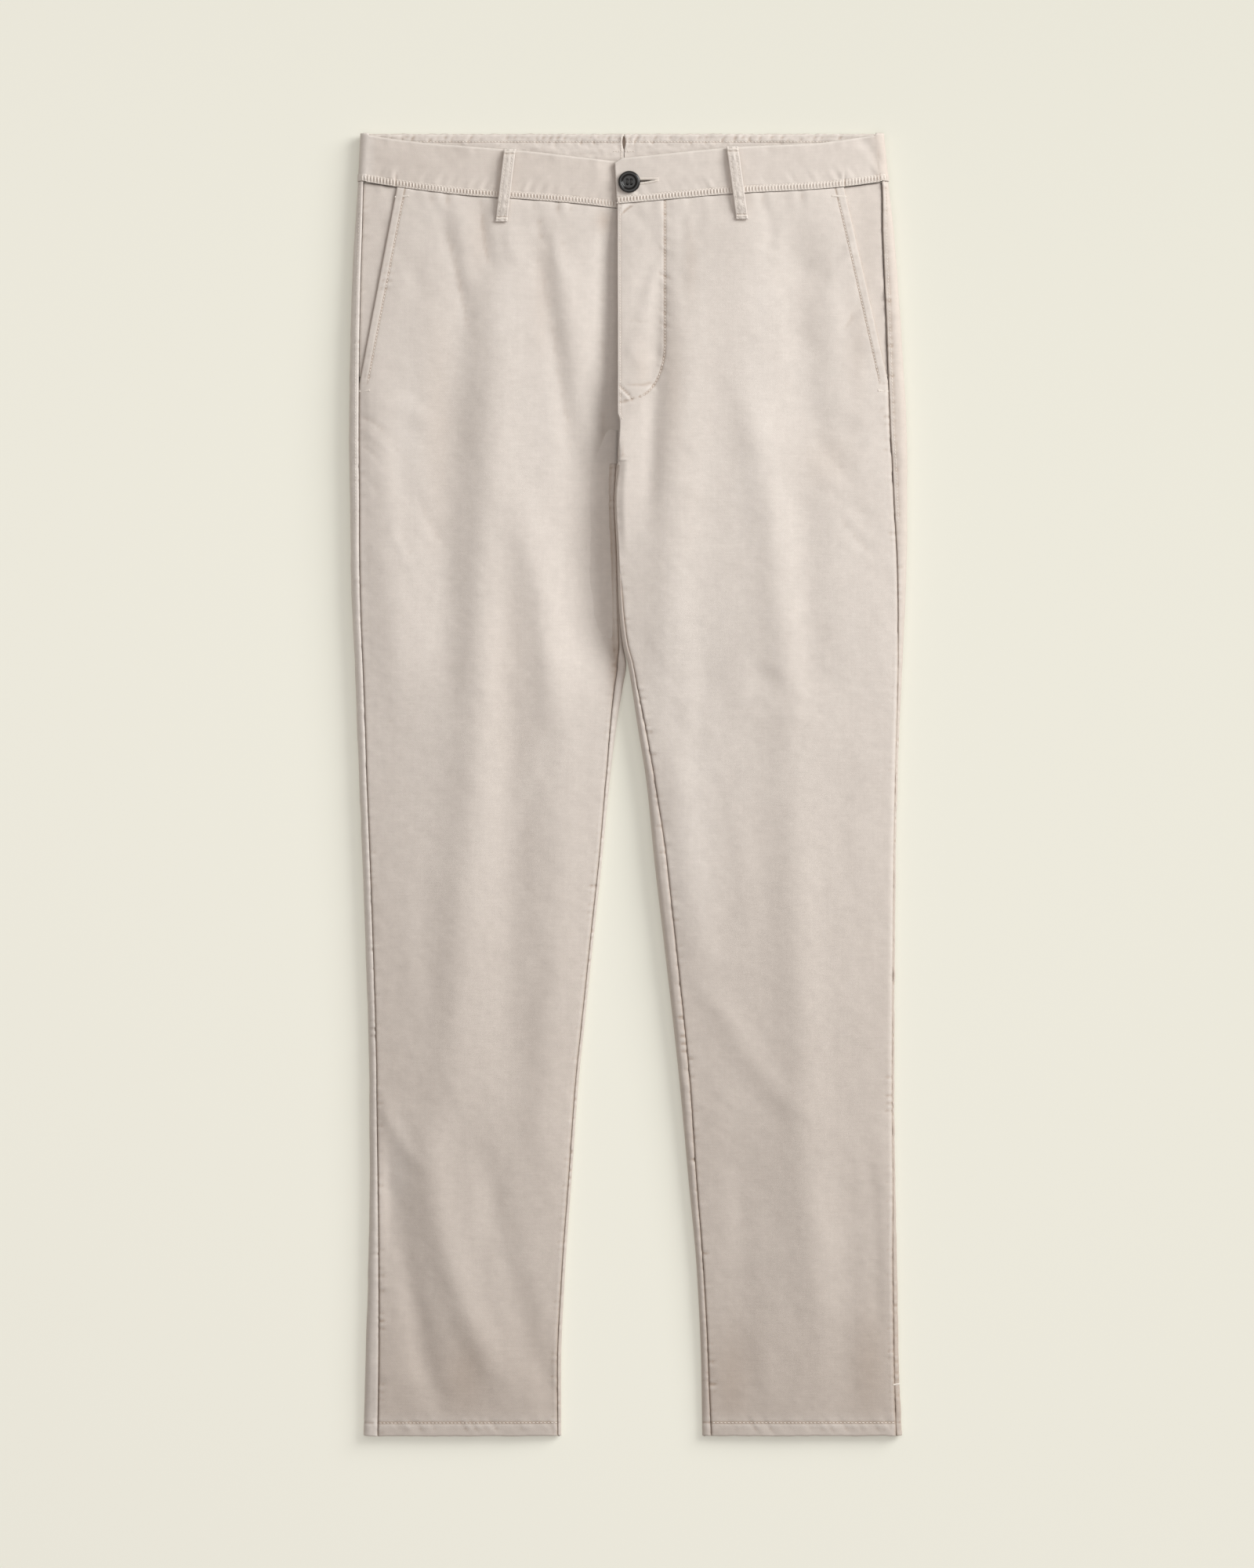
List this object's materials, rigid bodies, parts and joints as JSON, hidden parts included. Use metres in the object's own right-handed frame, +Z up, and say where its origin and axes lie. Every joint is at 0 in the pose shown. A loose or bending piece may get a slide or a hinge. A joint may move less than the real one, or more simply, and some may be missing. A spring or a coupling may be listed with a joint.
{
  "type": "chino trousers",
  "caption": "Flat-front chino trousers laid flat, front up, with a buttoned waistband, belt loops, slanted hip pockets and tapered legs.",
  "frame": {"origin": "on the ground under the middle of the laid-out garment's outline", "axes": "+X to the wearer's left, +Y from the hems to the waist, +Z up out of the front of the garment"},
  "size_m": [0.4617, 1.078, 0.0259],
  "materials": {
    "twill": "light stone cotton twill, brushed, matt",
    "twill_band": "the same twill, doubled and topstitched",
    "button": "polished black with a dished face"
  },
  "bodies": {
    "root": {"front_right": "twill", "front_left": "twill", "back_right": "twill", "back_left": "twill", "pocket_facing_right": "twill", "pocket_facing_left": "twill", "fly_shield": "twill", "waistband_right": "twill_band", "waistband_left": "twill_band", "belt_loop_front_right": "twill_band", "belt_loop_front_left": "twill_band", "belt_loop_back_right": "twill_band", "belt_loop_back_left": "twill_band", "belt_loop_side_right": "twill_band", "belt_loop_side_left": "twill_band", "button": "button"}
  },
  "joints": []
}
